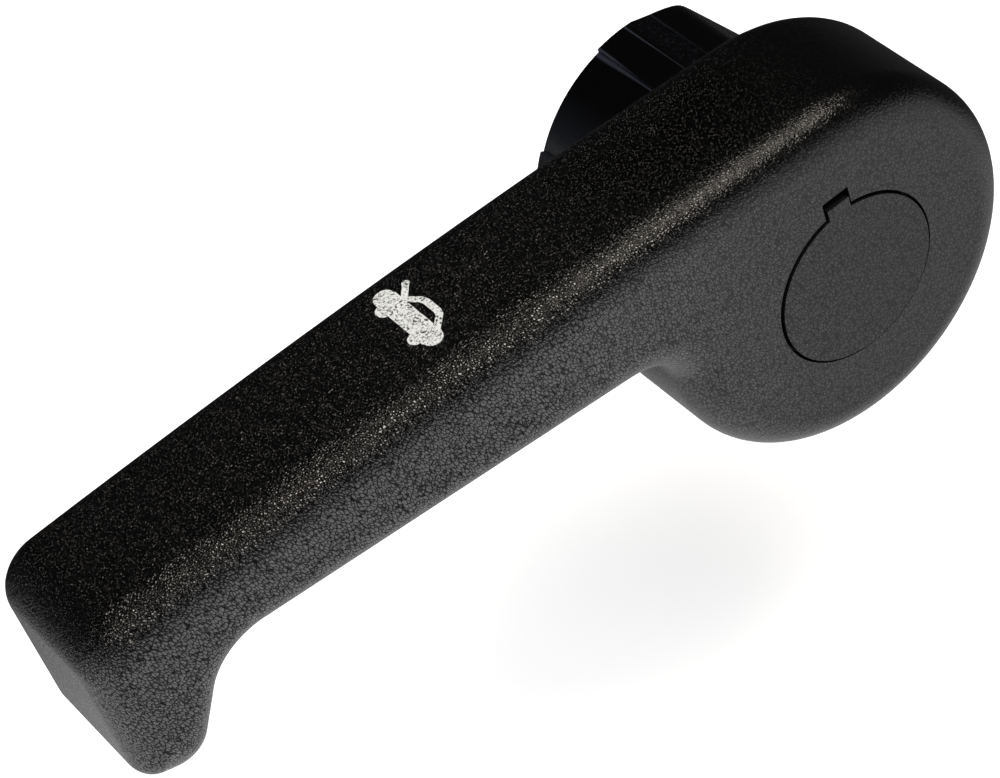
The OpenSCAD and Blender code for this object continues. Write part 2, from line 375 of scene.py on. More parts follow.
# %% [markdown]
# The hub is a plain round with two flats and four drive ribs. Each rib has a steep side and a ramp, and
# the pattern is the same after half a turn. So the section is a function: the distance from the axis in
# any direction. A soft minimum rounds the corner where the round meets a flat.
# %% The hub's section
RIB_RISE = 0.9
RIB_R = HUB_R + RIB_RISE
LAND_ANGLE = math.radians(129.5)
LAND_SPAN = math.radians(45)
RIB_SPAN = math.radians(13)
RAMP_SPAN = math.radians(13)
FLAT_ANGLE = math.radians(37)
FLAT_SIDE = 0.5
CORNER_SOFT = 0.25
ramp_top = np.array([RIB_R, 0])
ramp_foot = HUB_R * np.array([math.cos(RAMP_SPAN), math.sin(RAMP_SPAN)])


def hub_radius(a):
    """Distance from the axis to the hub's side in the direction a."""
    r = HUB_R
    for side in (1, -1):
        along = (side * (a - LAND_ANGLE) + math.pi / 2) % math.pi - math.pi / 2
        past = along - LAND_SPAN / 2
        if 0 <= past <= RIB_SPAN:
            r = RIB_R
        elif RIB_SPAN < past < RIB_SPAN + RAMP_SPAN:
            t = past - RIB_SPAN
            run = ramp_foot - ramp_top
            ray = np.array([math.cos(t), math.sin(t)])
            across = ramp_top[0] * run[1] - ramp_top[1] * run[0]
            r = across / (ray[0] * run[1] - ray[1] * run[0])
    facing = abs(math.cos(a - FLAT_ANGLE))
    if facing < FLAT_SIDE:
        return r
    flat = FLAT_D / facing
    return min(r, flat) - math.log1p(math.exp(-abs(r - flat) / CORNER_SOFT)) * CORNER_SOFT


print("hub radius over a land", round(hub_radius(LAND_ANGLE), 2), "mm")

# %% [markdown]
# The section is drawn through a fine row of directions, and through two directions close together at
# each place where it jumps, so that the ribs' sides stay steep.
# %% The hub's ring of points
HUB_STEP = 2.0
JUMP = 0.02


def hub_directions():
    """Directions in which the section has a point, in order."""
    out = list(np.arange(0, 360, HUB_STEP / FINE))
    for half in (0, 180):
        for side in (1, -1):
            for span in (0, RIB_SPAN, RIB_SPAN + RAMP_SPAN):
                a = math.degrees(LAND_ANGLE + side * (LAND_SPAN / 2 + span)) + half
                out += [a - JUMP, a + JUMP]
        turn = math.degrees(math.acos(FLAT_D / HUB_R))
        out += [math.degrees(FLAT_ANGLE) + half + turn, math.degrees(FLAT_ANGLE) + half - turn]
    return np.radians(sorted(a % 360 for a in out))


def hub_ring(limit):
    radii = [(min(hub_radius(a), limit), a) for a in hub_directions()]
    return [(r * math.cos(a), r * math.sin(a)) for r, a in radii]


print("the hub's ring has", len(hub_ring(RIB_R)), "points")

# %% [markdown]
# The section goes straight up to a small bevel at the hub's end. The hub is hollow, and in its middle
# stands a boss with the socket for the vehicle's spindle. The boss is a piece of its own.
# %% Hub and boss
HUB_BEVEL = 0.4
HUB_SOFT = 0.3
BOSS_R = 7.2
BOSS_SOFT = 0.25
SOCKET_R = 4
SOCKET_DEPTH = 20
SOCKET_STEPS = 64

end_steps = [(RIB_R, FRONT_Y + FRONT_WALL), (RIB_R, -HUB_BEVEL), (RIB_R - HUB_BEVEL, 0)]
hub = stack("hub", [hub_ring(r) for r, y in end_steps], [y for r, y in end_steps])
combine(hub, prism("core", disc(CORE_R, ROUND_STEPS), floor_back, OVER), "DIFFERENCE")
combine(hub, prism("post", disc(CORE_R + OVER, ROUND_STEPS), FRONT_Y, floor_back), "DIFFERENCE")
boss = prism("boss", disc(BOSS_R, NARROW_STEPS), FLOOR_Y + FLOOR_T / 2, 0)
combine(boss, prism("socket", disc(SOCKET_R, SOCKET_STEPS), -SOCKET_DEPTH, OVER), "DIFFERENCE")
combine(boss, prism("screw_hole", disc(SCREW_R, HOLE_STEPS), FRONT_Y, OVER), "DIFFERENCE")
soften(hub, HUB_SOFT)
soften(boss, BOSS_SOFT)
print("hub", len(hub.data.polygons), "faces, boss", len(boss.data.polygons))

# %% [markdown]
# Node trees are used twice below, for the ribs and for the finishes. Both kinds are easier to read as
# formulas, so this small class adds a node, joins what it is given and returns the result.
# %% Wiring for any node tree
class Wiring:
    """Adds nodes to a tree and joins them, so that a tree reads as a few formulas."""

    def __init__(self, tree):
        self.tree = tree

    def node(self, kind, **settings):
        made = self.tree.nodes.new(kind)
        for key, value in settings.items():
            setattr(made, key, value)
        return made

    def put(self, value, socket):
        """Joins a socket to the value if that is another node's output, or else sets it."""
        if isinstance(value, bpy.types.NodeSocket):
            self.tree.links.new(value, socket)
        else:
            socket.default_value = value

    def math(self, operation, a, b=0.0, c=0.0, clamp=False):
        made = self.node("ShaderNodeMath", operation=operation, use_clamp=clamp)
        for value, socket in zip((a, b, c), made.inputs):
            self.put(value, socket)
        return made.outputs[0]

    def vector(self, x, y, z):
        made = self.node("ShaderNodeCombineXYZ")
        for value, socket in zip((x, y, z), made.inputs):
            self.put(value, socket)
        return made.outputs[0]

    def split(self, vector):
        made = self.node("ShaderNodeSeparateXYZ")
        self.put(vector, made.inputs[0])
        return made.outputs


# %% [markdown]
# Ribs repeat, so Geometry Nodes make them. Each tree has named inputs for its sizes, and puts copies of
# one block on a row of points. It ends by making the copies real and giving them their material,
# because the export drops instances.
# %% Parts of a tree
def tree_with(name, sizes):
    """An empty tree with an input for each size and for the material, and its wiring."""
    tree = bpy.data.node_groups.new(name, "GeometryNodeTree")
    face = tree.interface
    for label, value in sizes.items():
        kind = "NodeSocketInt" if isinstance(value, int) else "NodeSocketFloat"
        face.new_socket(label, in_out="INPUT", socket_type=kind).default_value = value
    face.new_socket("Material", in_out="INPUT", socket_type="NodeSocketMaterial")
    face.new_socket("Geometry", in_out="OUTPUT", socket_type="NodeSocketGeometry")
    w = Wiring(tree)
    return w, w.node("NodeGroupInput").outputs


def copies_on(w, points, block_size, turn=None, scale=None):
    """Sets a block of the given size on each point, turned or scaled there."""
    block = w.node("GeometryNodeMeshCube")
    w.put(block_size, block.inputs["Size"])
    copies = w.node("GeometryNodeInstanceOnPoints")
    w.put(points, copies.inputs["Points"])
    w.put(block.outputs["Mesh"], copies.inputs["Instance"])
    if turn is not None:
        w.put(turn, copies.inputs["Rotation"])
    if scale is not None:
        w.put(scale, copies.inputs["Scale"])
    return copies.outputs[0]


def end_tree(w, geometry, material):
    real = w.node("GeometryNodeRealizeInstances")
    paint = w.node("GeometryNodeSetMaterial")
    w.put(geometry, real.inputs[0])
    w.put(real.outputs[0], paint.inputs["Geometry"])
    w.put(material, paint.inputs["Material"])
    w.put(paint.outputs[0], w.node("NodeGroupOutput").inputs[0])
    return w.tree


# %% [markdown]
# A tree runs as a modifier, on an object that starts empty. The modifier knows an input by its
# identifier, so that is looked up from the name. The result is kept as a plain mesh.
# %% Growing a piece
GROWN_SHARP_FROM = math.radians(40)


def grow(name, tree, sizes, material):
    """Runs a tree on an empty mesh, and keeps the result as a plain mesh."""
    obj = mesh_object(name, [], [])
    modifier = obj.modifiers.new(tree.name, "NODES")
    modifier.node_group = tree
    for item in tree.interface.items_tree:
        if item.item_type == "SOCKET" and item.in_out == "INPUT" and item.name in sizes:
            modifier[item.identifier] = sizes[item.name]
        if item.item_type == "SOCKET" and item.name == "Material":
            modifier[item.identifier] = material
    final_mesh(obj)
    obj.data.set_sharp_from_angle(angle=GROWN_SHARP_FROM)
    print(name, len(obj.data.polygons), "faces")
    return obj


# %% [markdown]
# The first tree is a fan. A row of points is bent round the axis: each point's number gives its angle,
# and the angle's cosine and sine give its place. The block on it is turned by the same angle, so that
# its length points away from the axis. Head ribs, hub webs and plug grips are all such fans.
# %% The fan of blocks round the axis
def fan_tree():
    names = {"Count": 6, "First angle": 0.0, "Step": 1.0, "Radius": 0.01, "Length": 0.01}
    names |= {"Thickness": 0.001, "Height": 0.01, "Middle": 0.0}
    w, size = tree_with("block_fan", names)
    row = w.node("GeometryNodeMeshLine")
    w.put(size["Count"], row.inputs["Count"])
    index = w.node("GeometryNodeInputIndex").outputs[0]
    angle = w.math("MULTIPLY_ADD", index, size["Step"], size["First angle"])
    x = w.math("MULTIPLY", w.math("COSINE", angle), size["Radius"])
    z = w.math("MULTIPLY", w.math("SINE", angle), size["Radius"])
    place = w.node("GeometryNodeSetPosition")
    w.put(row.outputs[0], place.inputs["Geometry"])
    w.put(w.vector(x, size["Middle"], z), place.inputs["Position"])
    block = w.vector(size["Length"], size["Height"], size["Thickness"])
    turn = w.vector(0.0, w.math("MULTIPLY", angle, -1.0), 0.0)
    return end_tree(w, copies_on(w, place.outputs[0], block, turn=turn), size["Material"])


fan = fan_tree()
print("fan of", len(fan.nodes), "nodes")

# %% [markdown]
# The second tree is a straight row along the arm. The arm grows towards the head, so each block's low
# and high ends follow two straight lines, whose heights and slopes are inputs too.
# %% The row of ribs along the arm
def row_tree():
    names = {"Count": 6, "First": 0.0, "Step": -0.01, "Thickness": 0.001, "Height": 0.01}
    names |= {"Middle": 0.0, "Low": 0.0, "Low slope": 0.0, "High": 0.01, "High slope": 0.0}
    w, size = tree_with("rib_row", names)
    row = w.node("GeometryNodeMeshLine")
    w.put(size["Count"], row.inputs["Count"])
    index = w.node("GeometryNodeInputIndex").outputs[0]
    x = w.math("MULTIPLY_ADD", index, size["Step"], size["First"])
    low = w.math("MULTIPLY_ADD", x, size["Low slope"], size["Low"])
    high = w.math("MULTIPLY_ADD", x, size["High slope"], size["High"])
    middle = w.math("MULTIPLY", w.math("ADD", low, high), 0.5)
    place = w.node("GeometryNodeSetPosition")
    w.put(row.outputs[0], place.inputs["Geometry"])
    w.put(w.vector(x, size["Middle"], middle), place.inputs["Position"])
    block = w.vector(size["Thickness"], size["Height"], 1.0)
    stretch = w.vector(1.0, 1.0, w.math("SUBTRACT", high, low))
    return end_tree(w, copies_on(w, place.outputs[0], block, scale=stretch), size["Material"])


rib_row = row_tree()
print("row of", len(rib_row.nodes), "nodes")

# %% [markdown]
# Four finishes cover the object: the grained skin, a slightly duller grain on the plug, smooth plastic
# on the hub and in the hollows, and white ink. All of them are textures on Object coordinates in
# millimetres, so a pattern's size is the size measured off the part.
# %% A finish and its coordinates
class Finish(Wiring):
    """A new material's wiring, with its shader's inputs by name."""

    def __init__(self, name):
        self.material = bpy.data.materials.new(name)
        self.material.use_nodes = True
        super().__init__(self.material.node_tree)
        self.shader = self.tree.nodes["Principled BSDF"]

    def set(self, socket, value):
        self.put(value, self.shader.inputs[socket])


def object_mm(w, stretch=(1, 1, 1), lean=0.0):
    """Object coordinates in millimetres, turned about Y by a lean, and stretched."""
    mapping = w.node("ShaderNodeMapping", vector_type="TEXTURE")
    mapping.inputs["Rotation"].default_value = (0, lean, 0)
    mapping.inputs["Scale"].default_value = [1 / (MM_PER_M * s) for s in stretch]
    w.put(w.node("ShaderNodeTexCoord").outputs["Object"], mapping.inputs["Vector"])
    return mapping.outputs["Vector"]


# %% [markdown]
# Few nodes are enough: a noise for what is uneven, a Voronoi for what is cellular, and a smooth range
# and a colour ramp that turn a value into a gloss or a colour. A bump node turns a value into relief.
# %% Textures, ranges and relief
def noise(w, where, scale, detail=2.0, roughness=0.5, distortion=0.0):
    made = w.node("ShaderNodeTexNoise")
    w.put(scale, made.inputs["Scale"])
    w.put(detail, made.inputs["Detail"])
    w.put(roughness, made.inputs["Roughness"])
    w.put(distortion, made.inputs["Distortion"])
    w.put(where, made.inputs["Vector"])
    return made.outputs["Fac"]


def voronoi(w, where, scale, feature):
    made = w.node("ShaderNodeTexVoronoi", feature=feature)
    w.put(scale, made.inputs["Scale"])
    w.put(where, made.inputs["Vector"])
    return made.outputs


def smooth_range(w, value, low, high, out_low=0.0, out_high=1.0):
    """Goes smoothly from out_low to out_high while the value goes from low to high."""
    made = w.node("ShaderNodeMapRange", interpolation_type="SMOOTHSTEP")
    for number, socket in zip((value, low, high, out_low, out_high), made.inputs):
        w.put(number, socket)
    return made.outputs[0]


def ramp(w, value, stops):
    made = w.node("ShaderNodeValToRGB")
    elements = made.color_ramp.elements
    while len(elements) < len(stops):
        elements.new(0.5)
    for element, (position, colour) in zip(elements, stops):
        element.position = position
        element.color = (*colour, 1)
    w.put(value, made.inputs["Fac"])
    return made.outputs["Color"]


def bump(w, height, distance):
    made = w.node("ShaderNodeBump")
    w.put(distance, made.inputs["Distance"])
    w.put(1.0, made.inputs["Strength"])
    w.put(height, made.inputs["Height"])
    return made.outputs["Normal"]


# %% [markdown]
# The skin's grain was etched into the steel mould. It looks like a net of tiny pebbles, drawn out along
# a slant. A Voronoi texture can give the distance from the net's lines: small in the grooves and large
# on a pebble's top. One value then makes the domes in the bump and the grooves that reflect less. The
# grain is clear along the arm and fades towards the head, as in the photograph.
# %% The grain's net
GRAIN_PITCH = 0.32
GRAIN_LEAN = math.radians(-27)
GRAIN_STRETCH = (1, 1, 0.36)
GRAIN_FADE = (-55.0, 5.0, 1.0, 0.55)
DOME_EDGE, DOME_RISE = 0.36, 0.25
SWELL_SCALE, SWELL_RISE = 2.0, 0.5
DUST_SCALE, DUST_ROUGHNESS, DUST_RISE = 9.0, 0.6, 0.02
GROOVE_FROM, GROOVE_TO, GROOVE_CUT = 0.02, 0.24, 0.95
HEAD_GLOSS = 0.47
GRAIN_ROUGHNESS = 0.2


def grain_relief(w, where, net, clear):
    """Domes on a slow swell, with a little dust, all weaker where the grain is less clear."""
    dome = w.math("MULTIPLY", smooth_range(w, net, 0.0, DOME_EDGE), DOME_RISE)
    swell = noise(w, where, SWELL_SCALE)
    dust = noise(w, where, DUST_SCALE, roughness=DUST_ROUGHNESS)
    relief = w.math("MULTIPLY_ADD", swell, SWELL_RISE, dome)
    relief = w.math("MULTIPLY_ADD", dust, DUST_RISE, relief)
    return w.math("MULTIPLY", relief, clear)


def grain_gloss(w, net, clear, gloss_level):
    """Full gloss on the pebbles of the arm, less on the head, and nearly none in a groove."""
    groove = smooth_range(w, net, GROOVE_FROM, GROOVE_TO, 1.0, 0.0)
    cut = w.math("MULTIPLY", w.math("MULTIPLY", groove, clear), GROOVE_CUT)
    faintest = GRAIN_FADE[3]
    gloss = smooth_range(w, clear, faintest, 1.0, HEAD_GLOSS * gloss_level, 1.0)
    return w.math("MULTIPLY", gloss, w.math("SUBTRACT", 1.0, cut))


print("pebbles", GRAIN_PITCH, "mm apart, and", round(GRAIN_PITCH / GRAIN_STRETCH[2], 2), "mm long")

# %% [markdown]
# Pale spots painted into the base colour stand for glints of the light on some pebbles, and they make
# the top sparkle. A second, finer Voronoi on the same slant places them: its distance gives a small spot
# in each cell, and its random colour says how pale that spot is. Near the head the painted glints fade
# away.
# %% The grained black plastic
BLACK = (0.0018, 0.0017, 0.0018)
PAINTED_GLINT_COLOUR = (0.125, 0.120, 0.115)
GLINT_PITCH = GRAIN_PITCH / 1.55
GLINT_SPOT = (0.12, 0.36, 1.0, 0.0)
GLINT_CHANCE = 1.5
GLINT_FADE = (-15.0, 12.0, 1.0, 0.02)


def painted_glints(w, leaning, x):
    """How strong the painted glint is here, from 0 to 1."""
    cells = voronoi(w, leaning, 1 / GLINT_PITCH, "F1")
    chance = w.node("ShaderNodeSeparateColor")
    w.put(cells["Color"], chance.inputs[0])
    spot = smooth_range(w, cells["Distance"], *GLINT_SPOT)
    spot = w.math("MULTIPLY", spot, w.math("POWER", chance.outputs[0], GLINT_CHANCE))
    return w.math("MULTIPLY", spot, smooth_range(w, x, *GLINT_FADE))


def grained(name, depth=0.16, gloss_level=1.0):
    w = Finish(name)
    where = object_mm(w)
    leaning = object_mm(w, GRAIN_STRETCH, GRAIN_LEAN)
    x = w.split(where)["X"]
    clear = smooth_range(w, x, *GRAIN_FADE)
    net = voronoi(w, leaning, 1 / GRAIN_PITCH, "DISTANCE_TO_EDGE")["Distance"]
    w.set("Normal", bump(w, grain_relief(w, where, net, clear), depth * MM))
    # The base colour is black with painted glints: pale spots that stand for the light's reflection on
    # the pebbles.
    w.set("Base Color", ramp(w, painted_glints(w, leaning, x), [(0.0, BLACK), (1.0, PAINTED_GLINT_COLOUR)]))
    w.set("Specular IOR Level", grain_gloss(w, net, clear, gloss_level))
    w.set("Roughness", GRAIN_ROUGHNESS)
    return w.material


grain_plastic = grained("grained_black_plastic")
cap_plastic = grained("grained_black_plug", depth=0.14, gloss_level=0.88)
print("grain of", GRAIN_PITCH, "mm in", len(grain_plastic.node_tree.nodes), "nodes")

# %% [markdown]
# The hub and the hollow back come from polished steel and are smooth. Even so, moulded plastic is never
# a perfect mirror: it has slow waves from cooling and a fine unevenness in its gloss. Two noises give
# both, one slow and one fine.
# %% The smooth black plastic
FLOW = (0.35, 3.0)
FLOW_LOW, FLOW_HIGH = 0.3, 0.7
UNEVEN = (6.0, 3.0, 0.65)
UNEVEN_RISE = 0.25
GLOSS_SPREAD = 0.2
SHADE = 0.8
PLASTIC_IOR = 1.5


def satin(name, colour, roughness, wave):
    w = Finish(name)
    where = object_mm(w)
    flow = noise(w, where, *FLOW)
    uneven = noise(w, where, *UNEVEN)
    relief = w.math("MULTIPLY_ADD", uneven, UNEVEN_RISE, flow)
    w.set("Normal", bump(w, relief, wave * MM))
    low = [c * SHADE for c in colour]
    w.set("Base Color", ramp(w, flow, [(FLOW_LOW, low), (FLOW_HIGH, colour)]))
    shine = w.math("MULTIPLY_ADD", uneven, GLOSS_SPREAD, roughness - GLOSS_SPREAD / 2)
    w.set("Roughness", shine)
    w.set("IOR", PLASTIC_IOR)
    return w.material


hub_plastic = satin("smooth_black_hub", (0.0008, 0.0009, 0.0011), 0.26, 0.012)
core_plastic = satin("smooth_black_core", (0.005, 0.005, 0.0055), 0.42, 0.02)
print("smooth plastic in", len(hub_plastic.node_tree.nodes), "nodes")

# %% [markdown]
# The hub's black side is nearly lost in the photograph, apart from pale bluish lines along the drive
# ribs' creases. These lines are painted highlights in the base colour, where a rounded crease catches
# the light. Each line lies at one angle round the axis, so the arc tangent of z and x finds it, and it
# is wider at the hub's end. A dull, scuffed ramp with lighter marks lies between two of them, and the
# land behind has a painted sheen.
# %% Painted highlights on the hub's creases
CREASES = ((107.6, 0.036, 1.0), (94.0, 0.012, 0.6), (81.0, 0.014, 0.2))
LINE_EDGE = (0.1, 1.0)
LINE_FADE = (-11.0, 0.0, 0.3, 1.0)
PAINTED_LAND_SHEEN = (2.1, 2.7, 0.0, 0.25)
SCUFF_ANGLE = math.radians(86.5)
SCUFF_SPAN = (0.04, 0.13, 0.3, 0.0)
SCUFF_NOISE = (2.6, 3.0, 0.7)
SCUFF_MARKS = (0.5, 0.75)
# A pale bluish colour for the painted crease highlights and land sheen, and for the lighter scuff marks
# on the ramp.
HIGHLIGHT_AND_SCUFF = (0.040, 0.044, 0.058, 1)


def from_angle(w, turn, angle):
    return w.math("ABSOLUTE", w.math("SUBTRACT", turn, angle))


# Paints highlights along the creases and a sheen on the land into the base colour, and adds lighter
# scuff marks on the ramp.
def paint_crease_highlights(material):
    w = Wiring(material.node_tree)
    colour = w.tree.nodes["Principled BSDF"].inputs["Base Color"]
    black = colour.links[0].from_socket
    where = object_mm(w)
    x, y, z = w.split(where)
    turn = w.math("ARCTAN2", z, x)
    end = smooth_range(w, y, *LINE_FADE)
    total = smooth_range(w, turn, *PAINTED_LAND_SHEEN)
    for crease, half_width, strength in CREASES:
        away = from_angle(w, turn, math.radians(crease))
        away = w.math("DIVIDE", away, w.math("MULTIPLY", end, half_width))
        total = w.math("ADD", total, smooth_range(w, away, *LINE_EDGE, strength, 0.0))
    scuff = smooth_range(w, noise(w, where, *SCUFF_NOISE), *SCUFF_MARKS)
    dull = smooth_range(w, from_angle(w, turn, SCUFF_ANGLE), *SCUFF_SPAN)
    total = w.math("ADD", total, w.math("MULTIPLY", dull, scuff), clamp=True)
    mix = w.node("ShaderNodeMix", data_type="RGBA")
    w.put(total, mix.inputs["Factor"])
    w.put(black, mix.inputs["A"])
    w.put(HIGHLIGHT_AND_SCUFF, mix.inputs["B"])
    w.put(mix.outputs["Result"], colour)


paint_crease_highlights(hub_plastic)
print(len(CREASES), "creases on the hub")

# %% [markdown]
# The shell was one solid, so its finishes are told apart by where a face lies: the hollow, the well and
# the back's rim are smooth, and everything that can be seen and touched from outside is grained.
# %% Finishes of the shell
RIM = 0.85
RECESS_SLACK, NOTCH_SLACK, POST_SLACK = 0.3, 1, 0.1
FACES_FRONT = -0.9
rim = outline(WALL * RIM)


def paint(obj, materials, choose):
    """Gives the object its materials, and each face the one that choose picks by place."""
    obj.data.materials.clear()
    for material in materials:
        obj.data.materials.append(material)
    for face in obj.data.polygons:
        face.material_index = choose(np.array(face.center) / MM, np.array(face.normal))


def inside_ring(ring, x, z):
    """Whether a point is inside a closed ring, by counting the crossings of a line from it."""
    a, b = ring, np.roll(ring, -1, axis=0)
    crosses = (a[:, 1] > z) != (b[:, 1] > z)
    t = (z - a[crosses, 1]) / (b[crosses, 1] - a[crosses, 1])
    return np.count_nonzero(x < a[crosses, 0] + t * (b[crosses, 0] - a[crosses, 0])) % 2 == 1


def shell_finish(centre, normal):
    """0 is grained and 1 is smooth."""
    x, y, z = centre
    from_axis = math.hypot(x, z)
    over_recess = from_axis < RECESS_R + NOTCH_REACH + NOTCH_SLACK
    if over_recess and y < recess_back + RECESS_SLACK and normal[1] > FACES_FRONT:
        return 1
    if from_axis < RECESS_R - POST_SLACK:
        return 1
    return 1 if y > FRONT_Y + FRONT_WALL / 2 and inside_ring(rim, x, z) else 0


paint(shell, [grain_plastic, core_plastic], shell_finish)
for piece in (hub, boss):
    paint(piece, [hub_plastic], lambda centre, normal: 0)
print("smooth faces on the shell:", sum(f.material_index for f in shell.data.polygons))

# %% [markdown]
# Cross ribs stiffen the arm's hollow. They start at the head and end a little below the rim, and each
# sinks a bit into the walls it stands on. Their ends follow the arm's crown and underside.
# %% Ribs in the arm
RIB_T = 1.7
RIB_DROP = 2.5
RIB_PITCH = 12.5
SINK = 0.3
INTO_WALL = 0.6
NEAR_HEAD, NEAR_THROAT, NEAR_TIP = -30, -90, -95
rib_top = BACK_Y - RIB_DROP
rib_low = FRONT_Y + FRONT_WALL - SINK
rib_height = (rib_top - rib_low) * MM
rib_middle = (rib_top + rib_low) / 2 * MM


def edge_line(height_at, x0, x1):
    """Height at x = 0 and slope of a straight line through the outline's edge at two places."""
    z0, z1 = height_at(x0), height_at(x1)
    slope = (z1 - z0) / (x1 - x0)
    return z0 - slope * x0, slope


def under_z(x):
    t = (x - under_end[0]) / (throat[0] - under_end[0])
    return under_end[1] + t * (throat[1] - under_end[1])


span = ARM_REACH - WALL - HEAD_R - RIB_T
rib_count = math.ceil(span / RIB_PITCH)
low, low_slope = edge_line(under_z, NEAR_HEAD, NEAR_THROAT)
high, high_slope = edge_line(crown_z, NEAR_HEAD, NEAR_TIP)
sizes = {"Count": rib_count - 1, "First": (-HEAD_R - RIB_T / 2) * MM, "Step": -span / rib_count * MM}
sizes |= {"Thickness": RIB_T * MM, "Height": rib_height, "Middle": rib_middle}
sizes |= {"Low": (low + WALL * INTO_WALL) * MM, "Low slope": low_slope}
sizes |= {"High": (high - WALL * INTO_WALL) * MM, "High slope": high_slope}
arm_ribs = grow("arm_ribs", rib_row, sizes, core_plastic)

# %% [markdown]
# Round the hub, ribs of the same thickness reach from the post to the head's wall. They leave out the
# side where the arm joins.
# %% Ribs in the head
HEAD_RIBS = 9
HEAD_RIB_STEP = math.radians(30)
HEAD_RIB_FIRST = -HEAD_RIB_STEP * 5.5
HEAD_RIB_SINK = 0.5
inner, outer = HUB_R - HEAD_RIB_SINK, HEAD_R - WALL * INTO_WALL
sizes = {"Count": HEAD_RIBS, "First angle": HEAD_RIB_FIRST, "Step": HEAD_RIB_STEP}
sizes |= {"Radius": (inner + outer) / 2 * MM, "Length": (outer - inner) * MM}
sizes |= {"Thickness": RIB_T * MM, "Height": rib_height, "Middle": rib_middle}
head_ribs = grow("head_ribs", fan, sizes, core_plastic)

# %% [markdown]
# Inside the hub, six webs hold the boss to the hub's wall. They stand on the well's floor and end a
# little below the hub's end.
# %% Webs in the hub
WEBS = 6
WEB_T = 1.8
WEB_DROP = 3
WEB_SINK = 0.4
web_low = floor_back - SINK
inner, outer = BOSS_R - WEB_SINK, CORE_R + WEB_SINK
sizes = {"Count": WEBS, "First angle": FLAT_ANGLE, "Step": math.tau / WEBS}
sizes |= {"Radius": (inner + outer) / 2 * MM, "Length": (outer - inner) * MM}
sizes |= {"Thickness": WEB_T * MM, "Height": (-WEB_DROP - web_low) * MM}
sizes |= {"Middle": (-WEB_DROP + web_low) / 2 * MM}
hub_webs = grow("hub_webs", fan, sizes, hub_plastic)

# %% [markdown]
# The plug hides the screw. Its disc lies flush in the recess with a narrow gap all round, and a tab
# reaches into the pry notch, where a blade can lift it. In the photograph the disc has dropped a little,
# so its gap is wider above and at the left. Behind it a short skirt goes into the well.
# %% The plug over the screw
PLUG_GAP = 0.35
PLUG_T = 2.4
PLUG_PLAY = 0.03
PLUG_DROP = np.array([0.17, -0.27])
PLUG_R = RECESS_R - PLUG_GAP - PLUG_PLAY
PLUG_SOFT = 0.16
PLUG_FACE = 0.4
TAB_REACH = 1.2
SKIRT_R = 10.3
SKIRT_WALL = 1.3
SKIRT_DEPTH = 6
plug_back = FRONT_Y + PLUG_T
skirt_back = plug_back + SKIRT_DEPTH


def dropped(points):
    return [(x + PLUG_DROP[0], z + PLUG_DROP[1]) for x, z in points]


plug = prism("screw_plug", dropped(disc(PLUG_R, WIDE_STEPS)), FRONT_Y, plug_back)
tab = turned(slab(NOTCH_ROOT, RECESS_R + TAB_REACH, NOTCH_W - 2 * PLUG_GAP), NOTCH_ANGLE)
combine(plug, prism("tab", dropped(tab), FRONT_Y, plug_back), "UNION")
skirt = prism("skirt", disc(SKIRT_R, NARROW_STEPS), plug_back - OVER, skirt_back)
combine(plug, skirt, "UNION")
skirt_hollow = disc(SKIRT_R - SKIRT_WALL, NARROW_STEPS)
combine(plug, prism("skirt_hollow", skirt_hollow, plug_back, skirt_back + OVER), "DIFFERENCE")
soften(plug, PLUG_SOFT)


def plug_finish(centre, normal):
    """The disc's front is grained, and the rest is smooth."""
    return 0 if centre[1] < FRONT_Y + PLUG_FACE else 1


paint(plug, [cap_plastic, core_plastic], plug_finish)
print("plug", len(plug.data.polygons), "faces")

# %% [markdown]
# Small grips on the skirt press against the well's wall and hold the plug in. They are again a fan.
# %% Grips on the plug
GRIPS = 8
GRIP_R = 0.6
GRIP_W = GRIP_R * 1.6
GRIP_FIT = 0.08
GRIP_L = SKIRT_DEPTH - 2
GRIP_UP = 1.2
sizes = {"Count": GRIPS, "First angle": 0.0, "Step": math.tau / GRIPS}
sizes |= {"Radius": (WELL_R - GRIP_FIT - GRIP_R) * MM, "Length": GRIP_W * MM}
sizes |= {"Thickness": GRIP_W * MM, "Height": GRIP_L * MM}
sizes |= {"Middle": (plug_back + SKIRT_DEPTH / 2 - GRIP_UP) * MM}
plug_grips = grow("plug_grips", fan, sizes, core_plastic)

# %% [markdown]
# A pictogram of a car with its bonnet up is printed on the arm. Its strokes and rounds are drawn in
# plan as upright posts, with edges that wander a little, as printed ink does. The noise that moves them
# has a fixed seed, because Blender starts it from the clock otherwise.
# %% Posts for the pictogram
POST_LOW, POST_HIGH = 20, 30
RAGGED = 0.035
RAGGED_SCALE = 2.1
RAGGED_PLACE = 3.7
RAGGED_SEED = 7
ROUND_POST_STEPS = 28
mathutils.noise.seed_set(RAGGED_SEED)


def ragged(x, y):
    where = Vector((x * RAGGED_SCALE, y * RAGGED_SCALE, RAGGED_PLACE))
    wave = mathutils.noise.noise_vector(where)
    return x + wave[0] * RAGGED, y + wave[1] * RAGGED


def post(points):
    """Corners and faces of an upright post over a convex plan, tall enough to pass the crown."""
    n = len(points)
    ring = [ragged(x, y) for x, y in points]
    corners = [(x, y, z) for z in (POST_LOW, POST_HIGH) for x, y in ring]
    faces = [tuple(reversed(range(n))), tuple(range(n, 2 * n))]
    return corners, faces + [(i, (i + 1) % n, (i + 1) % n + n, i + n) for i in range(n)]


def round_post(x, y, rx, ry=None):
    ry = ry or rx
    turns = np.arange(ROUND_POST_STEPS) * math.tau / ROUND_POST_STEPS
    return post([(x + rx * math.cos(a), y + ry * math.sin(a)) for a in turns])


def stroke_post(a, b, half, steps):
    a, b = np.array(a), np.array(b)
    side = left(unit(b - a)) * half
    there = [a - side + (b - a) * t for t in np.linspace(0, 1, steps)]
    return post(there + [p + 2 * side for p in reversed(there)])


print("a post is", POST_HIGH - POST_LOW, "mm tall")

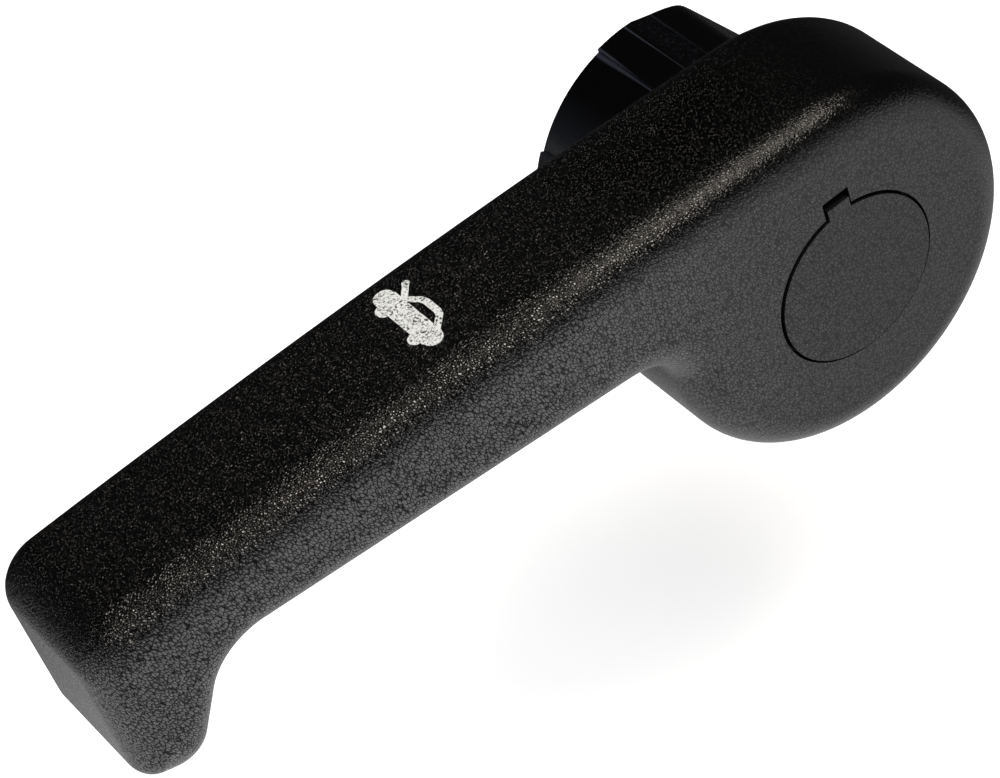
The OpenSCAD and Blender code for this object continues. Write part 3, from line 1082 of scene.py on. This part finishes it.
# %% [markdown]
# The car is a body stroke with rounded ends and two wheels, a bent line for the roof, and a short
# stroke for the open bonnet. The coordinates are the drawing itself, in millimetres on the arm's top.
# %% The drawing of the car
ROOF_HALF = 0.47
ROOF = [(-53.2, -25.15), (-52.35, -26.2), (-52.08, -27.0)]
ROOF += [(-52.08, -29.3), (-52.3, -30.05), (-54.1, -31.9)]
body = [stroke_post((-55.2, -22.6), (-55.2, -32.5), 1.5, 14)]
body += [round_post(-55.25, -22.45, 1.42, 1.36), round_post(-55.15, -32.45, 1.38, 1.38)]
wheels = [round_post(-56.6, -24.15, 1.0, 1.12), round_post(-56.75, -31.0, 0.95, 1.05)]
bonnet = [stroke_post((-54.2, -25.2), (-52.1, -22.65), 0.45, 6), round_post(-51.98, -22.5, 0.53)]
roof = [stroke_post(a, b, ROOF_HALF, 5) for a, b in zip(ROOF, ROOF[1:])]
roof += [round_post(x, y, ROOF_HALF) for x, y in ROOF]

corners, faces = [], []
for post_corners, post_faces in body + wheels + bonnet + roof:
    faces += [tuple(i + len(corners) for i in face) for face in post_faces]
    corners += post_corners
pictogram_posts = mesh_object("pictogram_posts", corners, faces)
print("the drawing has", len(faces), "faces")

# %% [markdown]
# The print is a layer of ink 0.025 mm thick. A thin slice follows the arm's crown, and its part inside
# the posts is kept. The posts cross each other, so this cut has to know that its tool overlaps itself.
# %% The printed pictogram
INK_UP, INK_DOWN = 0.025, 0.12
INK_FRONT, INK_BACK = -36, -19
INK_LEFT, INK_RIGHT, INK_STEPS = -60, -49, 22
ink_x = np.linspace(INK_LEFT, INK_RIGHT, INK_STEPS + 1)
ink_ring = [(x, crown_z(x) + INK_UP) for x in ink_x]
ink_ring += [(x, crown_z(x) - INK_DOWN) for x in ink_x[::-1]]
pictogram = prism("pictogram", ink_ring[::-1], INK_FRONT, INK_BACK)
combine(pictogram, pictogram_posts, "INTERSECT", crossing=True)
print("pictogram", len(pictogram.data.polygons), "faces")

# %% [markdown]
# The ink lies on the grain, so the grain's valleys show through as pinholes. One noise gives the holes,
# and a slower one makes them more common in places. A ramp turns both into white, worn and black.
# %% The ink
SPECKLE = (3.4, 1.5, 0.6, 0.8)
PATCH, PATCH_SHARE = (0.45, 1.0), 0.16
WHITE, WORN, BARE = (0.74, 0.75, 0.74), (0.58, 0.59, 0.58), (0.02, 0.02, 0.02)
INK_STOPS = [(0.50, WHITE), (0.635, WORN), (0.685, BARE)]
INK_RELIEF = 0.03
INK_ROUGHNESS = 0.6


def ink(name):
    w = Finish(name)
    where = object_mm(w)
    speckle = noise(w, where, *SPECKLE)
    holes = w.math("MULTIPLY_ADD", noise(w, where, *PATCH), PATCH_SHARE, speckle)
    w.set("Base Color", ramp(w, holes, INK_STOPS))
    w.set("Normal", bump(w, speckle, INK_RELIEF * MM))
    w.set("Roughness", INK_ROUGHNESS)
    return w.material


paint(pictogram, [ink("white_ink")], lambda centre, normal: 0)
print("ink on", len(pictogram.data.polygons), "faces")

# %% [markdown]
# Every piece rides on a body of the imported model, and the shell and the plug stand for the two nodes.
# %% What moves with what
lever_pieces = [shell, hub, boss, arm_ribs, head_ribs, hub_webs, pictogram]
for piece in lever_pieces:
    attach(piece, "handle")
for piece in (plug, plug_grips):
    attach(piece, "plug")
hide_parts("lever")
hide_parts("screw_cap")
print(len(lever_pieces), "pieces on the handle and 2 on the plug")

# %% [markdown]
# The camera stands where the photograph was taken from: above the handle, to its left, with the picture
# rolled so that the arm falls from upper right to lower left. Its three directions and its place were
# solved from the photograph's outline.
# %% Camera
CAMERA_RIGHT = Vector((0.78335, -0.58959, -0.19683))
CAMERA_UP = Vector((0.53798, 0.48448, 0.68982))
CAMERA_BACK = Vector((-0.31135, -0.64626, 0.69671))
CAMERA_AT = Vector((-184.735, -315.318, 316.009))
LENS = 128.85

camera_data = bpy.data.cameras.new("camera")
camera_data.lens = LENS
camera_data.sensor_width = 36
camera_data.clip_start = 0.01
camera_data.clip_end = 10
camera = bpy.data.objects.new("camera", camera_data)
bpy.context.scene.collection.objects.link(camera)
turn = Matrix((CAMERA_RIGHT, CAMERA_UP, CAMERA_BACK)).transposed().to_4x4()
camera.matrix_world = Matrix.Translation(CAMERA_AT * MM) @ turn
bpy.context.scene.camera = camera
bpy.context.scene.view_settings.view_transform = "Standard"
print("camera", round((CAMERA_AT * MM).length, 3), "m from the pivot")

# %% [markdown]
# A black object is drawn by what it reflects. The world is a pale room near the horizon and dark above,
# and it leans so that the dark lies over the arm's top. To the camera it is plain and pale.
# %% World
ROOM = (0.04, 0.19, 0.75, 0.012)
ROOM_LEAN_Y, ROOM_LEAN_X = 0.28, 0.15


def mixed(w, factor, one, other):
    mix = w.node("ShaderNodeMixShader")
    for value, socket in zip((factor, one, other), mix.inputs):
        w.put(value, socket)
    return mix.outputs[0]


world = bpy.data.worlds.new("studio")
bpy.context.scene.world = world
world.use_nodes = True
w = Wiring(world.node_tree)
x, y, z = w.split(w.node("ShaderNodeTexCoord").outputs["Generated"])
leant = w.math("MULTIPLY_ADD", y, ROOM_LEAN_Y, z)
leant = w.math("MULTIPLY_ADD", x, ROOM_LEAN_X, leant)
ambient = w.tree.nodes["Background"]
w.put((1, 1, 1, 1), ambient.inputs["Color"])
w.put(smooth_range(w, leant, *ROOM), ambient.inputs["Strength"])
white = w.node("ShaderNodeBackground")
is_camera = w.node("ShaderNodeLightPath").outputs["Is Camera Ray"]
seen = mixed(w, is_camera, ambient.outputs[0], white.outputs[0])
w.put(seen, w.tree.nodes["World Output"].inputs["Surface"])
print("world", world.name)

# %% [markdown]
# The photograph is cut out on white, so the floor shows as white to the camera and keeps a faint shadow.
# The handle's front reflects that paper, bright near the camera and dark behind, and this is what makes
# the front grey and leaves the top and the hub black. From below the floor is clear.
# %% Floor
FLOOR_Z = -0.08
FLOOR_HALF = 3
PAPER_LEAN = 0.35
PAPER = (-0.12, 0.10, 1.22, 0.04)
PAPER_LIFT = 0.64
PAPER_COLOUR = (0.8, 0.8, 0.8, 1)
PAPER_ROUGHNESS = 0.9

plan = [(-1, -1), (1, -1), (1, 1), (-1, 1)]
floor_mesh = bpy.data.meshes.new("floor")
floor_corners = [(x * FLOOR_HALF, y * FLOOR_HALF, FLOOR_Z) for x, y in plan]
floor_mesh.from_pydata(floor_corners, [], [(0, 1, 2, 3)])
floor = bpy.data.objects.new("floor", floor_mesh)
bpy.context.scene.collection.objects.link(floor)


def paper_glow(w, strength):
    glow = w.node("ShaderNodeEmission")
    w.put(strength, glow.inputs["Strength"])
    return glow.outputs[0]


w = Finish("floor_paper")
w.set("Base Color", PAPER_COLOUR)
w.set("Roughness", PAPER_ROUGHNESS)
w.set("Specular IOR Level", 0.0)
ray = w.node("ShaderNodeLightPath").outputs
x, y, z = w.split(w.node("ShaderNodeTexCoord").outputs["Object"])
ahead = smooth_range(w, w.math("MULTIPLY_ADD", x, PAPER_LEAN, y), *PAPER)
lifted = w.node("ShaderNodeAddShader")
w.put(w.shader.outputs[0], lifted.inputs[0])
w.put(paper_glow(w, PAPER_LIFT), lifted.inputs[1])
seen = mixed(w, ray["Is Camera Ray"], w.shader.outputs[0], lifted.outputs[0])
seen = mixed(w, ray["Is Glossy Ray"], seen, paper_glow(w, ahead))
from_below = w.node("ShaderNodeNewGeometry").outputs["Backfacing"]
seen = mixed(w, from_below, seen, w.node("ShaderNodeBsdfTransparent").outputs[0])
w.put(seen, w.tree.nodes["Material Output"].inputs["Surface"])
floor_mesh.materials.append(w.material)
print("floor at", FLOOR_Z, "m")

# %% [markdown]
# Two soft panels light the handle. The key is warm and small, and it draws the bright band along the
# rolled front edge. The fill is large and hidden from reflections, so it lights only the plastic's own
# colour, which brings out the painted glints and the ink.
# %% Lights
AIM = (-45, -30, 5)
WARM = (1, 0.93, 0.83)


def panel(name, direction, distance, width, height, watts, colour=(1, 1, 1)):
    data = bpy.data.lights.new(name, "AREA")
    data.shape = "RECTANGLE"
    data.size, data.size_y = width, height
    data.energy = watts
    data.color = colour
    light = bpy.data.objects.new(name, data)
    bpy.context.scene.collection.objects.link(light)
    direction = Vector(direction).normalized()
    light.location = Vector(AIM) * MM + direction * distance
    light.rotation_euler = direction.to_track_quat("Z", "Y").to_euler()
    return light


key = panel("key", (0.31, -0.29, 0.91), 0.9, 0.40, 0.32, watts=3.9, colour=WARM)
fill = panel("fill", (-0.1, -0.35, 0.93), 1.1, 0.9, 0.9, watts=11)
fill.visible_glossy = False
print("lights:", key.name, "and", fill.name)
